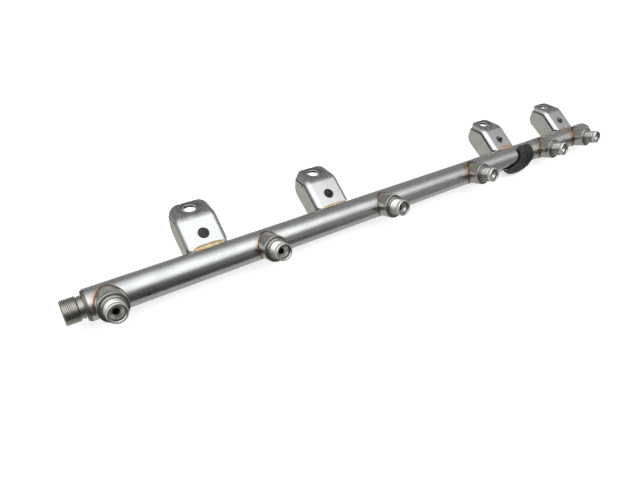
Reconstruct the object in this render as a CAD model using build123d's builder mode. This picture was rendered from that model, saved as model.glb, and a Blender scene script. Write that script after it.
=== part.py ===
from build123d import *
from math import cos, degrees, radians, sin, sqrt, tan
import os

# High-pressure fuel rail: one straight tube with six threaded pipe ports brazed to its front,
# a threaded fitting at its near end, a plug at its far end and four pressed brackets behind it.
# Lengths are in millimetres and angles in degrees.
# The origin is the first bracket's bolt hole, where the flange's underside seats on the engine.
# X runs along the rail from the threaded end, Y to the rear and Z up along the bolts.

os.makedirs("parts", exist_ok=True)

# Rail tube
tube_radius = 10.0
tube_bore_radius = 5.5
tube_near_overhang = 13.2
tube_far_overhang = 24.6
tube_rim = 1.1

# Places along the rail, measured from the first port
outlet_count = 5
outlet_pitch = 104.4
inlet_gap = 57.8
bracket_places = (67.5, 168.7, 371.9, 472.0)
strap_place = 376.3

# Threaded ports, with distances out from the rail's axis
port_lift = 21.4
boss_radius = 9.0
boss_reach = 18.9
boss_rim = 0.6
collar_radius = 7.0
collar_length = 1.0
port_neck_radius = 5.1
port_neck_length = 1.2
port_thread_radius = 6.0
port_thread_chamfer = 0.8
port_reach = 29.6
cone_mouth_radius = 4.9
cone_half_angle = 30.0
port_bore_radius = 2.2
spigot_radius = 4.0
spigot_clearance = 0.05
spigot_setback = 0.8

# Threaded fitting at the near end
end_thread_radius = 8.0
end_thread_length = 6.8
end_thread_chamfer = 0.9
end_neck_radius = 6.7
end_neck_length = 1.9
end_collar_radius = 7.1
end_collar_length = 2.9
end_spigot_length = 7.5
end_bore_radius = 2.2
end_mouth_radius = 4.9

# Plug at the far end
plug_length = 9.0
plug_proud = 0.4
plug_rim = 1.2
plug_socket_radius = 2.6
plug_socket_depth = 2.0

# Bracket plate, pressed from sheet and bent back into the bolt flange
plate_thickness = 2.5
plate_width = 28.6
plate_edge_radius = 3.5
plate_edge_depth = 3.5
foot_angle = 53.7
foot_corner = 4.8
face_lean = 33.0
face_height = 23.8
bend_radius = 10.0
flange_depth = 17.9
flange_corner_width = 6.9
flange_corner_depth = 5.2
flange_corner_round = 2.0
bolt_hole_radius = 4.3
bolt_hole_setback = 10.55
coined_ring_width = 2.4
coined_ring_depth = 0.3
window_radius = 3.9
window_height = 10.15

# U-shaped channel behind the plate, with its web below and two ears that straddle the tube
channel_thickness = 2.0
channel_inset = 0.2
channel_fold_radius = 2.5
ear_top_depth = 15.5
ear_rear_depth = 15.9
ear_rear_drop = 13.1
ear_heel_run = 3.7
ear_heel_drop = 5.0
ear_toe_reach = 16.9
ear_toe_angle = -34.0
ear_round = 3.5
bolt_notch_width = 22.2
bolt_notch_front = 5.2

# Braze beads
port_braze_size = 1.1
foot_braze_size = 2.5
foot_braze_margin = 3.0

# Rubber strap that clips round the tube's front and sags below it into a tapered tongue
strap_width = 18.8
strap_thickness = 2.4
strap_open_start = -42.0
strap_open_end = 103.0
strap_rim_width = 1.2
strap_rim_step = 0.7
strap_groove_place = 8.7
strap_groove_width = 1.6
strap_groove_depth = 0.8
strap_rib_width = 1.0
strap_rib_depth = 0.4
strap_rib_count = 3
sag_angle = -134.0
sag_radius = 12.0
sag_places = (-20.5, -12.6, -4.8, 2.1, 9.5, 18.8)
sag_depths = (0.2, 2.2, 3.9, 4.0, 3.0, 0.3)
tongue_edge = ((-3.6, -9.8), (-7.2, -8.1), (-11.9, -6.4), (-20.5, -4.4))
tongue_tip_width = 3.4
tongue_rear_width = 9.0


def sine(angle):
    """Sine of an angle in degrees."""
    return sin(radians(angle))


def cosine(angle):
    """Cosine of an angle in degrees."""
    return cos(radians(angle))


# The side view of a bracket, as (y, z) about the rail's axis
foot = (tube_radius * cosine(foot_angle), tube_radius * sine(foot_angle))
bend = (foot[0] + face_height * cosine(face_lean), foot[1] + face_height * sine(face_lean))
flange_rear = bend[0] + flange_depth

# The rail's axis and the places along it, in the bracket's bolt hole frame
rail_y = -(bend[0] + bolt_hole_setback)
rail_z = plate_thickness - bend[1]
first_port_x = -bracket_places[0]
outlet_xs = [first_port_x + outlet_pitch * index for index in range(outlet_count)]
port_xs = outlet_xs + [outlet_xs[-1] + inlet_gap]
bracket_xs = [first_port_x + place for place in bracket_places]
tube_near_x = first_port_x - tube_near_overhang
tube_far_x = port_xs[-1] + tube_far_overhang
port_direction = (0, -cosine(port_lift), sine(port_lift))


def rail_section(x):
    """Plane across the rail, with local x to the rear and local y up."""
    return Plane(origin=(x, rail_y, rail_z), x_dir=(0, 1, 0), z_dir=(1, 0, 0))


def port_plane(x):
    """Plane through a port's axis, with local x along the rail and local y out along the port."""
    across = (0, -sine(port_lift), -cosine(port_lift))
    return Plane(origin=(x, rail_y, rail_z), x_dir=(1, 0, 0), z_dir=across)


def port_axis(x):
    """Centre line of a port, pointing out of the rail."""
    return Axis((x, rail_y, rail_z), port_direction)


def face_point(depth, height):
    """Point behind the bracket's leaning face, at a height up it from the foot."""
    return (
        foot[0] + depth * sine(face_lean) + height * cosine(face_lean),
        foot[1] - depth * cosine(face_lean) + height * sine(face_lean),
    )


def bend_corner(depth):
    """Corner where the face and the flange would meet, at a depth behind both."""
    return (bend[0] + depth * tan(radians(face_lean / 2)), bend[1] - depth)


def bracket_face_plane(x):
    """Plane on the bracket's leaning face, with its origin at the foot."""
    return Plane(
        origin=(x, rail_y + foot[0], rail_z + foot[1]),
        x_dir=(1, 0, 0),
        z_dir=(0, -sine(face_lean), cosine(face_lean)),
    )


def draw_leaf(x, front, back):
    """Draw the side view of a bent leaf between two depths behind the outer face."""
    overrun = -tube_radius / 2
    with BuildSketch(rail_section(x)) as leaf_view:
        with BuildLine():
            Polyline(
                face_point(front, overrun),
                bend_corner(front),
                (flange_rear, bend[1] - front),
                (flange_rear, bend[1] - back),
                bend_corner(back),
                face_point(back, overrun),
                close=True,
            )
        make_face()
        for depth in (front, back):
            corner = vertices().sort_by_distance((*bend_corner(depth), 0))[0]
            fillet(corner, radius=bend_radius - depth)
    return leaf_view.sketch


def make_dished_leaf(x, front, back, width, edge_radius):
    """Make a bent leaf whose two long edges are rounded over."""
    with BuildPart() as leaf:
        extrude(draw_leaf(x, front, back), amount=width / 2, both=True)
        y, z = face_point(front, face_height / 2)
        sides = [(x + side * width / 2, rail_y + y, rail_z + z) for side in (-1, 1)]
        fillet([leaf.edges().sort_by_distance(point)[0] for point in sides], radius=edge_radius)
    return leaf.part


def make_bracket_plate(x):
    """Make the outer plate: a leaning face, a bend and the bolt flange, all with turned edges."""
    form_depth = plate_edge_radius + 1.0
    dish = make_dished_leaf(
        x,
        plate_thickness,
        form_depth,
        plate_width - 2 * plate_thickness,
        plate_edge_radius - plate_thickness,
    )
    with BuildPart() as plate:
        add(make_dished_leaf(x, 0, form_depth, plate_width, plate_edge_radius))
        add(dish, mode=Mode.SUBTRACT)
        extrude(
            draw_leaf(x, plate_edge_depth, form_depth),
            amount=plate_width,
            both=True,
            mode=Mode.SUBTRACT,
        )
        # Rear corners of the flange, seen from above
        with BuildSketch(Plane(origin=(x, rail_y, 0))):
            with BuildLine():
                Polyline(
                    (-plate_width / 2, 0),
                    (-plate_width / 2, flange_rear - flange_corner_depth),
                    (-plate_width / 2 + flange_corner_width, flange_rear),
                    (plate_width / 2 - flange_corner_width, flange_rear),
                    (plate_width / 2, flange_rear - flange_corner_depth),
                    (plate_width / 2, 0),
                    close=True,
                )
            make_face()
            fillet(vertices().group_by(Axis.Y)[-1], radius=flange_corner_round)
        extrude(amount=2 * bend[1], both=True, mode=Mode.INTERSECT)
        # Rounded corners at the foot
        with BuildSketch(bracket_face_plane(x)):
            with BuildLine():
                Line((plate_width / 2, foot_corner), (plate_width / 2, -foot_corner))
                Line((plate_width / 2, -foot_corner), (plate_width / 2 - foot_corner, -foot_corner))
                Line((plate_width / 2 - foot_corner, -foot_corner), (plate_width / 2 - foot_corner, 0))
                RadiusArc(
                    (plate_width / 2 - foot_corner, 0),
                    (plate_width / 2, foot_corner),
                    -foot_corner,
                )
            make_face()
            mirror(about=Plane.YZ)
        extrude(amount=form_depth, both=True, mode=Mode.SUBTRACT)
        with Locations((x, 0, plate_thickness)):
            CounterBoreHole(
                radius=bolt_hole_radius,
                counter_bore_radius=bolt_hole_radius + coined_ring_width,
                counter_bore_depth=coined_ring_depth,
                depth=form_depth,
            )
        with Locations(bracket_face_plane(x)):
            with Locations((0, window_height)):
                Hole(radius=window_radius, depth=plate_thickness)
        with Locations(rail_section(x)):
            Cylinder(radius=tube_radius, height=2 * plate_width, mode=Mode.SUBTRACT)
    return plate


def draw_ear(x, front, shrink):
    """Draw the side view of the channel's ear behind a depth, shrunk by a wall's thickness."""
    rear_top = (bend[0] + ear_top_depth, bend[1] - front)
    rear = (bend[0] + ear_rear_depth, bend[1] - ear_rear_drop)
    heel = (rear[0] - ear_heel_run, rear[1] - ear_heel_drop)
    toe = (ear_toe_reach * cosine(ear_toe_angle), ear_toe_reach * sine(ear_toe_angle))
    with BuildSketch(rail_section(x)) as ear_view:
        with BuildLine():
            Polyline(
                (0, 0),
                face_point(front, 0),
                bend_corner(front),
                rear_top,
                rear,
                heel,
                toe,
                close=True,
            )
        make_face()
        bend_vertex = vertices().sort_by_distance((*bend_corner(front), 0))[0]
        fillet(bend_vertex, radius=bend_radius - front)
        corners = [vertices().sort_by_distance((*point, 0))[0] for point in (rear, heel)]
        fillet(corners, radius=ear_round)
        if shrink:
            offset(amount=-shrink, kind=Kind.INTERSECTION, mode=Mode.REPLACE)
    return ear_view.sketch


def make_bracket_channel(x):
    """Make the channel: two ears saddled on the tube, a web below and a notch for the bolt."""
    half_width = plate_width / 2 - channel_inset
    with BuildPart() as channel:
        extrude(draw_ear(x, plate_edge_depth, 0), amount=half_width, both=True)
        # The rounded folds along the ears' rear and lower edges
        rear_and_lower = (
            channel.faces()
            .filter_by(lambda face: abs(face.normal_at().X) < 0.1)
            .filter_by(lambda face: face.normal_at().dot(Vector(0, 1, -1)) > 0.1)
        )
        sides = channel.faces().sort_by(Axis.X)
        side_edges = sides[0].edges() + sides[-1].edges()
        folds = [edge for edge in rear_and_lower.edges() if edge in side_edges]
        fillet(folds, radius=channel_fold_radius)
        # The open space between the ears
        extrude(
            draw_ear(x, plate_edge_depth - 3 * channel_thickness, channel_thickness),
            amount=half_width - channel_thickness,
            both=True,
            mode=Mode.SUBTRACT,
        )
        with BuildSketch(Plane(origin=(x, -bolt_notch_front, 0))):
            Rectangle(bolt_notch_width, 2 * flange_depth, align=(Align.CENTER, Align.MIN))
        extrude(amount=-2 * bend[1], mode=Mode.SUBTRACT)
        with Locations(rail_section(x)):
            Cylinder(radius=tube_radius, height=2 * plate_width, mode=Mode.SUBTRACT)
    return channel


def make_bracket_braze(x):
    """Make the bead of braze that fills the corner between the plate's foot and the tube."""
    edge_angle = foot_angle + degrees(foot_braze_size / tube_radius)
    with BuildPart() as bead:
        with BuildSketch(rail_section(x)):
            with BuildLine():
                Polyline(
                    (0, 0),
                    (tube_radius * cosine(edge_angle), tube_radius * sine(edge_angle)),
                    face_point(0, foot_braze_size),
                    face_point(0, -foot_braze_size),
                    close=True,
                )
            make_face()
            Circle(radius=tube_radius, mode=Mode.SUBTRACT)
        extrude(amount=plate_width / 2 - foot_braze_margin, both=True)
    return bead


def make_port_fitting(x):
    """Turn one port: spigot, saddled boss, collar, neck, thread blank and coned mouth."""
    cone_depth = (cone_mouth_radius - port_bore_radius) / tan(radians(cone_half_angle))
    spigot_start = sqrt(tube_bore_radius**2 - spigot_radius**2) + spigot_setback
    thread_start = boss_reach + collar_length + port_neck_length
    with BuildPart() as fitting:
        with BuildSketch(port_plane(x)):
            with BuildLine():
                Polyline(
                    (port_bore_radius, 0),
                    (boss_radius, 0),
                    (boss_radius, boss_reach - boss_rim),
                    (boss_radius - boss_rim, boss_reach),
                    (collar_radius, boss_reach),
                    (collar_radius, boss_reach + collar_length / 2),
                    (port_neck_radius, boss_reach + collar_length),
                    (port_neck_radius, thread_start - port_thread_chamfer / 2),
                    (port_thread_radius, thread_start),
                    (port_thread_radius, port_reach - port_thread_chamfer),
                    (port_thread_radius - port_thread_chamfer, port_reach),
                    (cone_mouth_radius, port_reach),
                    (port_bore_radius, port_reach - cone_depth),
                    close=True,
                )
            make_face()
        revolve(axis=port_axis(x))
        # The saddle that sits on the tube
        with Locations(rail_section(x)):
            Cylinder(radius=tube_radius, height=3 * boss_radius, mode=Mode.SUBTRACT)
        # The spigot that enters the tube's cross hole
        with BuildSketch(port_plane(x)):
            with BuildLine():
                Polyline(
                    (port_bore_radius, spigot_start),
                    (spigot_radius, spigot_start),
                    (spigot_radius, tube_radius),
                    (port_bore_radius, tube_radius),
                    close=True,
                )
            make_face()
        revolve(axis=port_axis(x))
    return fitting


def make_port_braze(x):
    """Make the copper fillet that fills the seam between a boss and the tube."""
    with BuildPart() as seam:
        with Locations(rail_section(x)):
            Cylinder(radius=tube_radius, height=4 * boss_radius)
        with BuildSketch(Plane(origin=(x, rail_y, rail_z), x_dir=(1, 0, 0), z_dir=port_direction)):
            Circle(radius=boss_radius)
        extrude(amount=boss_reach)
        fillet(seam.edges(Select.LAST).filter_by(GeomType.BSPLINE), radius=port_braze_size)
        with Locations(rail_section(x)):
            Cylinder(radius=tube_radius, height=5 * boss_radius, mode=Mode.SUBTRACT)
        with BuildSketch(Plane(origin=(x, rail_y, rail_z), x_dir=(1, 0, 0), z_dir=port_direction)):
            Circle(radius=boss_radius)
        extrude(amount=2 * boss_reach, mode=Mode.SUBTRACT)
    return seam


with BuildPart() as rail_tube:
    with BuildSketch(rail_section(tube_near_x)):
        Circle(radius=tube_radius)
        Circle(radius=tube_bore_radius, mode=Mode.SUBTRACT)
    extrude(amount=tube_far_x - tube_near_x)
    rims = rail_tube.edges().filter_by(GeomType.CIRCLE).sort_by(SortBy.RADIUS)[-2:]
    chamfer(rims.sort_by(Axis.X)[0], length=tube_rim)
    chamfer(rims.sort_by(Axis.X)[-1], length=plug_rim)
    for port_x in port_xs:
        with Locations(Plane(origin=(port_x, rail_y, rail_z), x_dir=(1, 0, 0), z_dir=port_direction)):
            Cylinder(
                radius=spigot_radius + spigot_clearance,
                height=2 * tube_radius,
                align=(Align.CENTER, Align.CENTER, Align.MIN),
                mode=Mode.SUBTRACT,
            )
rail_tube.part.label = "rail_tube"
export_step(rail_tube.part, "parts/rail_tube.step")

with BuildPart() as end_fitting:
    with BuildSketch(Plane(origin=(tube_near_x, rail_y, rail_z), x_dir=(1, 0, 0), z_dir=(0, -1, 0))):
        neck_start = -end_collar_length - end_neck_length
        thread_end = neck_start - end_thread_length
        end_cone_depth = (end_mouth_radius - end_bore_radius) / tan(radians(cone_half_angle))
        with BuildLine():
            Polyline(
                (end_spigot_length, end_bore_radius),
                (end_spigot_length, tube_bore_radius - spigot_clearance),
                (0, tube_bore_radius - spigot_clearance),
                (0, end_collar_radius),
                (-end_collar_length, end_collar_radius),
                (-end_collar_length, end_neck_radius),
                (neck_start, end_neck_radius),
                (neck_start, end_thread_radius),
                (thread_end + end_thread_chamfer, end_thread_radius),
                (thread_end, end_thread_radius - end_thread_chamfer),
                (thread_end, end_mouth_radius),
                (thread_end + end_cone_depth, end_bore_radius),
                close=True,
            )
        make_face()
    revolve(axis=Axis((tube_near_x, rail_y, rail_z), (1, 0, 0)))
end_fitting.part.label = "end_fitting"
export_step(end_fitting.part, "parts/end_fitting.step")

with BuildPart() as end_plug:
    with BuildSketch(rail_section(tube_far_x - plug_length)):
        Circle(radius=tube_bore_radius - spigot_clearance)
    extrude(amount=plug_length + plug_proud)
    chamfer(end_plug.edges().filter_by(GeomType.CIRCLE).sort_by(Axis.X)[-1], length=plug_proud)
    with BuildSketch(rail_section(tube_far_x + plug_proud)):
        RegularPolygon(radius=plug_socket_radius, side_count=6)
    extrude(amount=-plug_socket_depth, mode=Mode.SUBTRACT)
end_plug.part.label = "end_plug"
export_step(end_plug.part, "parts/end_plug.step")

for number, port_x in enumerate(port_xs, start=1):
    port_fitting = make_port_fitting(port_x)
    port_fitting.part.label = f"port_fitting_{number}"
    export_step(port_fitting.part, f"parts/port_fitting_{number}.step")
    port_braze = make_port_braze(port_x)
    port_braze.part.label = f"port_braze_{number}"
    export_step(port_braze.part, f"parts/port_braze_{number}.step")

for number, bracket_x in enumerate(bracket_xs, start=1):
    bracket_plate = make_bracket_plate(bracket_x)
    bracket_plate.part.label = f"bracket_plate_{number}"
    export_step(bracket_plate.part, f"parts/bracket_plate_{number}.step")
    bracket_channel = make_bracket_channel(bracket_x)
    bracket_channel.part.label = f"bracket_channel_{number}"
    export_step(bracket_channel.part, f"parts/bracket_channel_{number}.step")
    bracket_braze = make_bracket_braze(bracket_x)
    bracket_braze.part.label = f"bracket_braze_{number}"
    export_step(bracket_braze.part, f"parts/bracket_braze_{number}.step")

strap_x = first_port_x + strap_place
strap_radius = tube_radius + strap_thickness
with BuildPart() as rubber_strap:
    with BuildSketch(rail_section(strap_x)):
        Circle(radius=strap_radius)
    extrude(amount=strap_width)
    # The rim, the groove and the ribs round the band
    steps = [(0, strap_rim_width, strap_rim_step), (strap_groove_place, strap_groove_width, strap_groove_depth)]
    for rib in range(strap_rib_count):
        rib_place = strap_groove_place + strap_groove_width + (2 * rib + 1) * strap_rib_width
        steps.append((rib_place, strap_rib_width, strap_rib_depth))
    for place, width, depth in steps:
        with BuildSketch(rail_section(strap_x + place)):
            Circle(radius=2 * strap_radius)
            Circle(radius=strap_radius - depth, mode=Mode.SUBTRACT)
        extrude(amount=width, mode=Mode.SUBTRACT)
    # The sag below the tube, cut to the tongue's outline
    sag_way = (0, cosine(sag_angle), sine(sag_angle))
    with BuildPart() as sag:
        for place, depth in zip(sag_places, sag_depths):
            section = Plane(
                origin=(strap_x + place, rail_y + depth * sag_way[1], rail_z + depth * sag_way[2]),
                x_dir=(0, 1, 0),
                z_dir=(1, 0, 0),
            )
            with BuildSketch(section):
                Circle(radius=sag_radius)
        loft()
        with BuildSketch(Plane(origin=(strap_x, rail_y, rail_z), x_dir=(1, 0, 0), z_dir=sag_way)):
            with BuildLine():
                edge = Spline(*[(place, -across) for place, across in tongue_edge])
                tip = Line(edge @ 1, edge @ 1 - (0, tongue_tip_width))
                Polyline(
                    tip @ 1,
                    (-strap_rim_width, -tongue_rear_width),
                    (strap_width, -tongue_rear_width),
                    (strap_width, -tongue_edge[0][1]),
                    edge @ 0,
                )
            make_face()
        extrude(amount=2 * strap_radius, mode=Mode.INTERSECT)
    add(sag)
    with Locations(rail_section(strap_x)):
        Cylinder(radius=tube_radius, height=4 * strap_width, mode=Mode.SUBTRACT)
    # The open side, which leaves room for the bracket next to the strap
    with BuildSketch(rail_section(strap_x)):
        with BuildLine():
            Polyline(
                (0, 0),
                (3 * tube_radius * cosine(strap_open_start), 3 * tube_radius * sine(strap_open_start)),
                (3 * tube_radius, 3 * tube_radius),
                (3 * tube_radius * cosine(strap_open_end), 3 * tube_radius * sine(strap_open_end)),
                close=True,
            )
        make_face()
    extrude(amount=strap_width, mode=Mode.SUBTRACT)
rubber_strap.part.label = "rubber_strap"
export_step(rubber_strap.part, "parts/rubber_strap.step")
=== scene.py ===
"""Looks of the fuel rail: turned and threaded fittings, pressed brackets, braze and the strap."""

import math

import bpy
from mathutils import Matrix, Vector


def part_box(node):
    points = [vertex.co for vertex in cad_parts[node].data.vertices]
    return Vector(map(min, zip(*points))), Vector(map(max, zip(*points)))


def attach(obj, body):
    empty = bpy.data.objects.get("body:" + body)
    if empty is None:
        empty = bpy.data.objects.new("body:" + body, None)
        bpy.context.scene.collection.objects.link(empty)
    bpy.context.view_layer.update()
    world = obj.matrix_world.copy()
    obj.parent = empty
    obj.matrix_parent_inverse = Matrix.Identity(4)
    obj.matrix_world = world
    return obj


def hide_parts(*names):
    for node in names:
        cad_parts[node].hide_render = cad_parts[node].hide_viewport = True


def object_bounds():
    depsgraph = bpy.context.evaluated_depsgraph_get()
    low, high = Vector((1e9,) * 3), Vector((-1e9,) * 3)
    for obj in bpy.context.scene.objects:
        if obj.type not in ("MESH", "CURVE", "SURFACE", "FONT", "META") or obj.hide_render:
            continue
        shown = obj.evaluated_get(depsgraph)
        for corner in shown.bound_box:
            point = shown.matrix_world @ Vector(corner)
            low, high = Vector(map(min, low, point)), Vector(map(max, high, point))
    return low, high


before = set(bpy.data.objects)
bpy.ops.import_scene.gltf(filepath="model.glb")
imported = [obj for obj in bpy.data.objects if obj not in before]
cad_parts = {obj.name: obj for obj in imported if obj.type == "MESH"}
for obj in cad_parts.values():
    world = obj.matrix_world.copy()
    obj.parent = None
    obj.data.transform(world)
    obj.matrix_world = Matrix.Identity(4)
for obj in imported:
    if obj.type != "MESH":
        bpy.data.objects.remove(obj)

bl_info = {
    "name": "Fuel Rail Pieces",
    "version": (1, 0, 0),
    "blender": (4, 5, 0),
    "location": "View3D > Sidebar > Fuel Rail",
    "description": "Builds the visible pieces of a fuel rail round its CAD frame",
    "category": "Object",
}

MM = 0.001
CAD_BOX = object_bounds()


def middle(node, axis):
    """Middle of a CAD node's box along one axis."""
    low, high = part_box(node)
    return (low[axis] + high[axis]) / 2


TUBE_LOW, TUBE_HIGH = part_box("rail_tube")
RAIL_Y = middle("rail_tube", 1)
RAIL_Z = middle("rail_tube", 2)
PORT_XS = [middle(f"port_fitting_{n}", 0) for n in range(1, 7)]
BRACKET_XS = [middle(f"bracket_plate_{n}", 0) for n in range(1, 5)]
# Outer radius of the bend between a bracket's face and its flange
BEND = 10.0 * MM
QUARTER = math.radians(90)


def a_length(name, about, value):
    """Declare a length with its default."""
    return bpy.props.FloatProperty(name=name, description=about, default=value, unit="LENGTH")


def an_angle(name, about, degrees):
    """Declare an angle with its default in degrees."""
    value = math.radians(degrees)
    return bpy.props.FloatProperty(name=name, description=about, default=value, subtype="ANGLE")


def a_colour(name, about, *channels):
    """Declare a colour with its default."""
    return bpy.props.FloatVectorProperty(name=name, description=about, subtype="COLOR", default=channels)


class RailSizes(bpy.types.PropertyGroup):
    """Sizes of the rail's pieces."""

    tube_radius: a_length("Tube radius", "Outer radius of the rail tube", (TUBE_HIGH[1] - TUBE_LOW[1]) / 2)
    tube_bore_radius: a_length("Tube bore radius", "Radius of the fuel passage", 5.5 * MM)
    port_lift: an_angle("Port lift", "Angle of the ports above the level of the bolt flanges", 21.4)
    boss_radius: a_length("Boss radius", "Radius of a port's round boss", 9.0 * MM)
    port_thread_pitch: a_length("Port thread pitch", "Pitch of the ports' threads", 1.25 * MM)
    end_thread_pitch: a_length("End thread pitch", "Pitch of the end fitting's thread", 1.0 * MM)
    plate_width: a_length("Plate width", "Width of a bracket plate along the rail", 28.6 * MM)
    plate_thickness: a_length("Plate thickness", "Thickness of the bracket plates", 2.5 * MM)
    face_lean: an_angle("Face lean", "Angle of a bracket's front face above the level", 33.0)
    face_height: a_length("Face height", "Height of a bracket's front face", 23.8 * MM)
    strap_place: a_length("Strap place", "Where the strap starts along the rail", 308.8 * MM)


class RailColours(bpy.types.PropertyGroup):
    """Colours of the rail's finishes."""

    nickel: a_colour("Nickel", "Plated steel of the tube", 0.60, 0.61, 0.605)
    fitting: a_colour("Fitting", "Plated steel of the fittings", 0.58, 0.575, 0.54)
    plate: a_colour("Plate", "Smooth steel of the bracket plates", 0.60, 0.605, 0.61)
    channel: a_colour("Channel", "Grainy steel of the bracket channels", 0.70, 0.69, 0.64)
    copper: a_colour("Copper", "Braze round the ports", 0.30, 0.165, 0.105)
    gold: a_colour("Gold", "Braze at the first two brackets' feet", 0.80, 0.66, 0.43)
    rubber: a_colour("Rubber", "Black rubber of the strap", 0.012, 0.014, 0.013)


def sizes():
    """Sizes set in the panel."""
    return bpy.context.scene.rail_sizes


def colours():
    """Colours set in the panel."""
    return bpy.context.scene.rail_colours


def deselect():
    """Leave nothing selected before a new piece is made."""
    bpy.ops.object.select_all(action="DESELECT")


def start_point(place):
    """Start a mesh with a single vertex, ready to be extruded, and leave it in edit mode."""
    deselect()
    bpy.ops.mesh.primitive_plane_add(size=MM, location=place)
    bpy.ops.object.transform_apply(location=True)
    bpy.ops.object.mode_set(mode="EDIT")
    bpy.ops.mesh.select_all(action="SELECT")
    bpy.ops.mesh.merge(type="CENTER")
    return bpy.context.object


def extrude_by(step):
    """Extrude what is selected by a step."""
    bpy.ops.mesh.extrude_region_move(TRANSFORM_OT_translate={"value": tuple(step)})


def draw_chain(points):
    """Draw an open chain of edges through the points and stay in edit mode with it all selected."""
    piece = start_point(points[0])
    for before, after in zip(points, points[1:]):
        extrude_by(Vector(after) - Vector(before))
    bpy.ops.mesh.select_all(action="SELECT")
    return piece


def turn(profile, segments):
    """Turn a profile of (radius, height) points about Z, one ring after another."""
    deselect()
    radius, height = profile[0]
    bpy.ops.mesh.primitive_circle_add(vertices=segments, radius=radius, location=(0, 0, height))
    bpy.ops.object.transform_apply(location=True)
    piece = bpy.context.object
    bpy.ops.object.mode_set(mode="EDIT")
    bpy.ops.mesh.select_all(action="SELECT")
    for (radius, height), (next_radius, next_height) in zip(profile, profile[1:]):
        extrude_by((0, 0, next_height - height))
        if next_radius != radius:
            ratio = next_radius / radius
            bpy.ops.transform.resize(value=(ratio, ratio, 1), center_override=(0, 0, next_height))
    if profile[0] == profile[-1]:
        bpy.ops.mesh.select_all(action="SELECT")
        bpy.ops.mesh.remove_doubles(threshold=0.001 * MM)
    recalculate()
    bpy.ops.object.mode_set(mode="OBJECT")
    return piece


def turn_mm(profile, segments, lift=0.0):
    """Turn a profile given in millimetres, all of it raised by a lift."""
    return turn([(radius * MM, lift + height * MM) for radius, height in profile], segments)


def recalculate():
    """Merge doubles and turn every face of the mesh in edit mode outwards."""
    bpy.ops.mesh.select_all(action="SELECT")
    bpy.ops.mesh.remove_doubles(threshold=0.002 * MM)
    bpy.ops.mesh.normals_make_consistent(inside=False)


def only(piece):
    """Select one piece alone and make it the active one."""
    deselect()
    piece.select_set(True)
    bpy.context.view_layer.objects.active = piece
    return piece


def finish_modifier(piece, kind, **settings):
    """Add a modifier with its settings and apply it."""
    only(piece)
    bpy.ops.object.modifier_add(type=kind)
    modifier = piece.modifiers[-1]
    for key, value in settings.items():
        setattr(modifier, key, value)
    bpy.ops.object.modifier_apply(modifier=modifier.name)
    return piece


def flatten(piece, angle):
    """Shade a piece so that its large flat faces stay flat beside small rounded edges."""
    smooth(piece, angle)
    finish_modifier(piece, "WEIGHTED_NORMAL", mode="FACE_AREA", weight=100, keep_sharp=True)


def join(pieces):
    """Join several pieces into the first one."""
    deselect()
    for piece in pieces:
        piece.select_set(True)
    bpy.context.view_layer.objects.active = pieces[0]
    bpy.ops.object.join()
    return pieces[0]


def settle(piece, turned, moved):
    """Turn and move a piece's mesh, leaving its object at the origin."""
    only(piece)
    piece.matrix_world = Matrix.Translation(moved) @ turned
    bpy.ops.object.transform_apply(location=True, rotation=True, scale=True)
    return piece


def copy_of(piece):
    """Copy a piece with a mesh of its own."""
    only(piece)
    bpy.ops.object.duplicate(linked=False)
    return bpy.context.object


def smooth(piece, angle):
    """Shade a piece smooth where its faces meet at less than the angle."""
    only(piece)
    bpy.ops.object.shade_smooth_by_angle(angle=math.radians(angle))


def hand_over(piece, name, nodes, looks, angle=32):
    """Name a finished piece, shade it, give it its materials and let it stand for its CAD nodes."""
    piece.name = name
    piece.data.name = name
    smooth(piece, angle)
    if len(looks) == 1:
        piece.data.materials.clear()
    for number, look in enumerate(looks):
        if number < len(piece.data.materials):
            piece.data.materials[number] = material(look)
        else:
            piece.data.materials.append(material(look))
    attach(piece, "root")
    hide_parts(*nodes)


def port_turn():
    """Rotation that turns a piece made along Z into the ports' direction."""
    return Matrix.Rotation(math.radians(90) - sizes().port_lift, 4, "X")


def split_looks(piece, choose):
    """Give each face of a turned piece the look chosen by its radius and height in millimetres."""
    for polygon in piece.data.polygons:
        x, y, z = polygon.center
        polygon.material_index = int(choose(math.hypot(x, y) / MM, z / MM))


def bevel(piece, width, segments, degrees):
    """Round the edges where a piece turns by more than an angle."""
    limit = {"limit_method": "ANGLE", "angle_limit": math.radians(degrees)}
    finish_modifier(piece, "BEVEL", width=width, segments=segments, **limit)


def thicken(piece, thickness, **settings):
    """Give a surface its thickness, behind it."""
    finish_modifier(piece, "SOLIDIFY", thickness=thickness, offset=-1, use_quality_normals=True, **settings)


def cut_away(piece, cutter):
    """Cut one piece out of another and throw the cutter away."""
    finish_modifier(piece, "BOOLEAN", operation="DIFFERENCE", object=cutter, solver="EXACT")
    bpy.data.objects.remove(cutter)


def make_block(outline, low, high):
    """Make a solid from a closed side view of (y, z) points between two places along the rail."""
    piece = draw_chain([(low, point[0], point[1]) for point in outline])
    bpy.ops.mesh.edge_face_add()
    extrude_by((high - low, 0, 0))
    recalculate()
    bpy.ops.object.mode_set(mode="OBJECT")
    return piece


# One ridge of a thread as (share of the depth, share of the pitch)
RIDGE = (
    (0, 0), (0, 0.08), (0.35, 0.2), (0.85, 0.34), (1, 0.44), (1, 0.62), (0.85, 0.72), (0.35, 0.86),
    (0, 0.98), (0, 1),
)


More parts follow.
